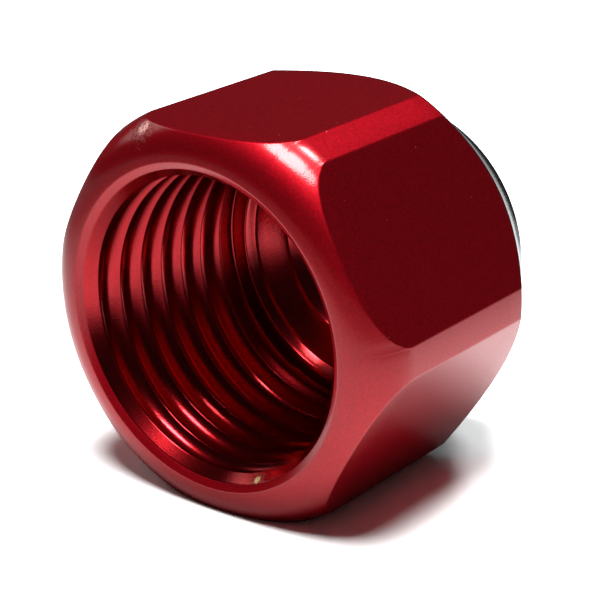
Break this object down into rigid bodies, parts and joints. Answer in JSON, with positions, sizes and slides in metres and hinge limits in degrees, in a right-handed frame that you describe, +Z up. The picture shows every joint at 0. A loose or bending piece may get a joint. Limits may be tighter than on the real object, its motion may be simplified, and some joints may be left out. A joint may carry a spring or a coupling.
{
  "type": "tube nut",
  "caption": "Hexagon tube nut: internal right-hand thread at the domed mouth, relief groove, sleeve seat and a tube hole through a tapered rear shoulder.",
  "frame": {"origin": "middle of the footprint of the flat that the nut lies on", "axes": "the nut's axis is along Y: the threaded mouth faces -Y and the tube leaves at +Y; +Z is up, out of the top flat; X runs across two hexagon corners"},
  "size_m": [0.0194, 0.0152, 0.0175],
  "materials": {
    "anodised_body": "bright red anodised, turned"
  },
  "bodies": {
    "root": {"tube_nut": "anodised_body"}
  },
  "joints": []
}
